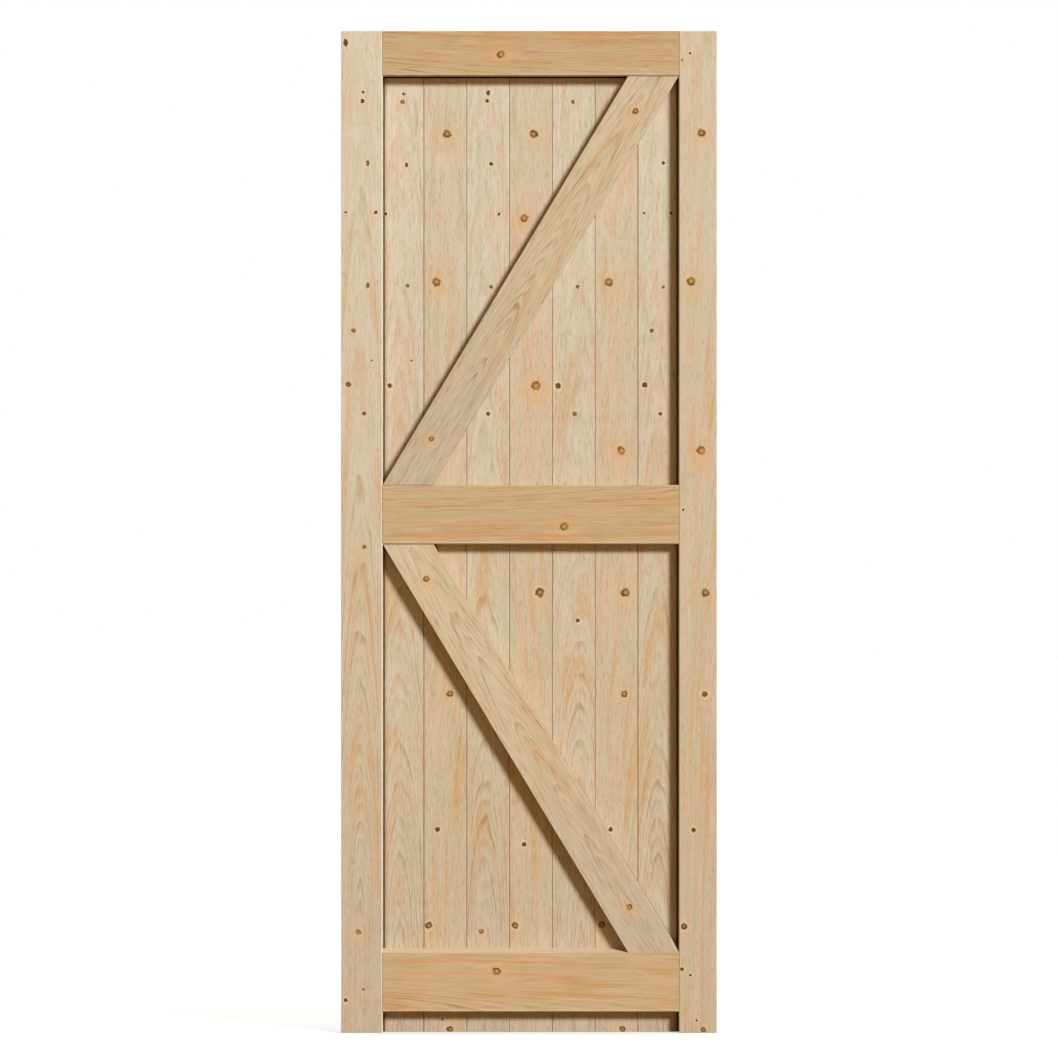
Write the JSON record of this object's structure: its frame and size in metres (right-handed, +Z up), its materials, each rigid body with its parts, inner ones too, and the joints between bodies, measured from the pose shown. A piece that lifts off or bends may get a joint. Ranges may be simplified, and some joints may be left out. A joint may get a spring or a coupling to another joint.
{
  "type": "framed, ledged and braced door leaf",
  "caption": "Boarded timber door leaf: stiles and a top rail hold V-jointed boards, backed by a middle rail, a bottom rail and slanting braces, joined by wedged tenons.",
  "frame": {"origin": "foot of the hanging edge: on the outer edge of the left stile as seen from the braced side, at mid-thickness, level with the door's foot", "axes": "+X across the leaf to the lock edge, +Y from the braced face to the boarded face, +Z up"},
  "size_m": [0.762, 0.044, 2.032],
  "materials": {
    "stile_pine": "planed, bare",
    "board_pine": "planed, bare",
    "rail_pine": "planed, bare",
    "brace_pine": "planed, bare",
    "wedge_pine": "sawn, bare"
  },
  "bodies": {
    "root": {"left_stile": "stile_pine", "right_stile": "stile_pine", "top_rail": "rail_pine", "middle_rail": "rail_pine", "bottom_rail": "rail_pine", "upper_brace": "brace_pine", "lower_brace": "brace_pine", "board_1": "board_pine", "board_2": "board_pine", "board_3": "board_pine", "board_4": "board_pine", "board_5": "board_pine", "board_6": "board_pine", "board_7": "board_pine", "top_rail_left_wedge_1": "wedge_pine", "top_rail_left_wedge_2": "wedge_pine", "top_rail_right_wedge_1": "wedge_pine", "top_rail_right_wedge_2": "wedge_pine", "middle_rail_left_wedge_1": "wedge_pine", "middle_rail_left_wedge_2": "wedge_pine", "middle_rail_left_wedge_3": "wedge_pine", "middle_rail_left_wedge_4": "wedge_pine", "middle_rail_right_wedge_1": "wedge_pine", "middle_rail_right_wedge_2": "wedge_pine", "middle_rail_right_wedge_3": "wedge_pine", "middle_rail_right_wedge_4": "wedge_pine", "bottom_rail_left_wedge_1": "wedge_pine", "bottom_rail_left_wedge_2": "wedge_pine", "bottom_rail_left_wedge_3": "wedge_pine", "bottom_rail_left_wedge_4": "wedge_pine", "bottom_rail_right_wedge_1": "wedge_pine", "bottom_rail_right_wedge_2": "wedge_pine", "bottom_rail_right_wedge_3": "wedge_pine", "bottom_rail_right_wedge_4": "wedge_pine"}
  },
  "joints": []
}
